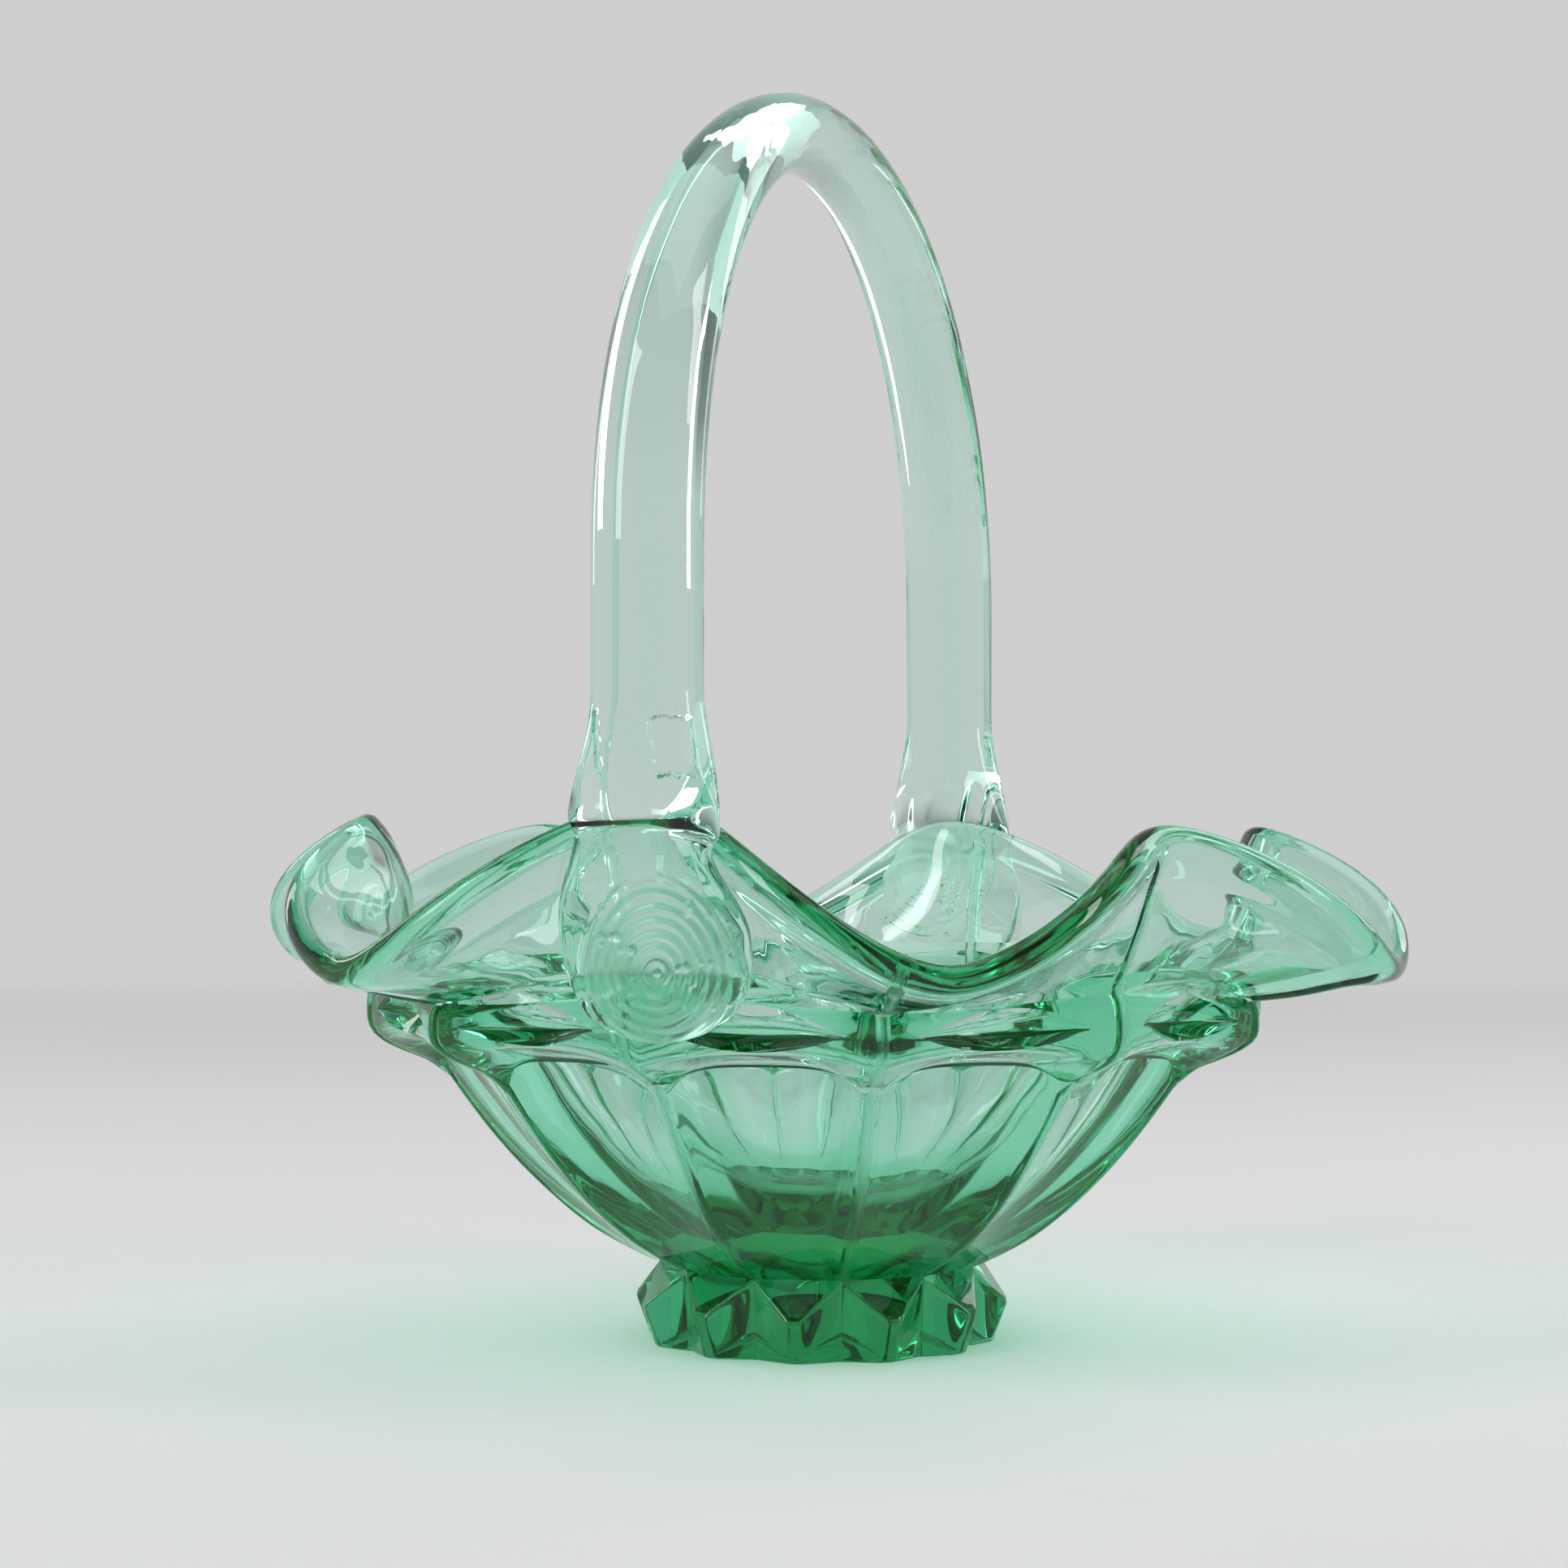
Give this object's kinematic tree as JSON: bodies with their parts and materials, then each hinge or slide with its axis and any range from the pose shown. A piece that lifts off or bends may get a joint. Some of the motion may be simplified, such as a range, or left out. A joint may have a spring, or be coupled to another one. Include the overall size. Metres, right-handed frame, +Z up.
{
  "type": "glass basket",
  "caption": "Pressed glass basket: fluted bowl with a pinched, wavy rim on a pointed foot, and a hoop handle of clear glass stamped onto its sides.",
  "frame": {"origin": "centre of the foot's underside, on the surface that the basket stands on", "axes": "+Z up along the bowl's axis, the hoop handle in the XZ plane with a stamped end on each of +X and -X"},
  "size_m": [0.1748, 0.1848, 0.1964],
  "materials": {
    "green_glass": "fire-polished emerald green glass, clear through, deeper where it is thick",
    "clear_glass": "fire-polished clear glass with a pale mint tint"
  },
  "bodies": {
    "root": {"bowl": "green_glass", "handle": "clear_glass"}
  },
  "joints": []
}
